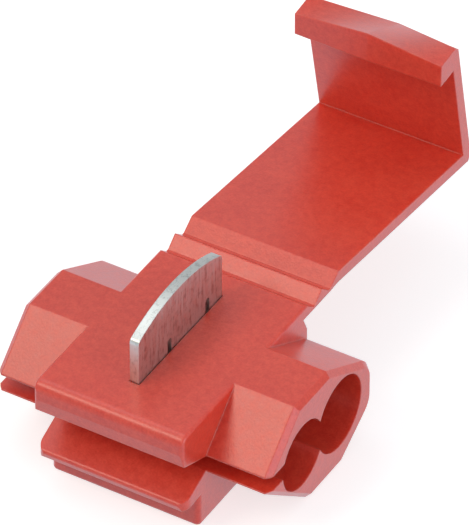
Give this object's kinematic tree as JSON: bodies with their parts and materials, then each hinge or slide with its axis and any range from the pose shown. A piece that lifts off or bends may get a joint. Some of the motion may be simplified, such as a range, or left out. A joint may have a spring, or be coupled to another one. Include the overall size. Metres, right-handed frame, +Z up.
{
  "type": "wire tap connector",
  "caption": "Insulation-displacement tap connector: a moulded block with two side-by-side wire channels, a flat pressed contact and a hinged hook cover, shown open.",
  "frame": {"origin": "on the seat plane, at mid width, 0.15 mm in front of the line midway between the two wire channels", "axes": "+X along the wires towards the end where both channels are open, +Y from the open mouth towards the hinge, +Z up"},
  "size_m": [0.0198, 0.0357, 0.0168],
  "materials": {
    "red_polypropylene": "satin moulded",
    "tinned_brass": "tin plated, half bright"
  },
  "bodies": {
    "housing": {"housing": "red_polypropylene"},
    "hinge_strip": {"hinge_strip": "red_polypropylene"},
    "cover": {"cover": "red_polypropylene"},
    "contact": {"contact": "tinned_brass"}
  },
  "joints": [
    {"name": "strip_hinge", "type": "hinge", "parent": "housing", "child": "hinge_strip", "pos_m": [0, 0.0069, 0.0078], "axis": [1, 0, 0], "range_deg": [0, 107]},
    {"name": "cover_hinge", "type": "hinge", "parent": "hinge_strip", "child": "cover", "pos_m": [0, 0.0088, 0.0078], "axis": [1, 0, 0], "range_deg": [0, 75]},
    {"name": "contact_press", "type": "slide", "parent": "housing", "child": "contact", "axis": [0, 0, -1], "range_m": [0, 0.0043]}
  ],
  "couplings": [
    {"joint": "strip_hinge", "follows": "contact_press", "rad_per_m": 434.3},
    {"joint": "cover_hinge", "follows": "contact_press", "rad_per_m": 304.42}
  ]
}
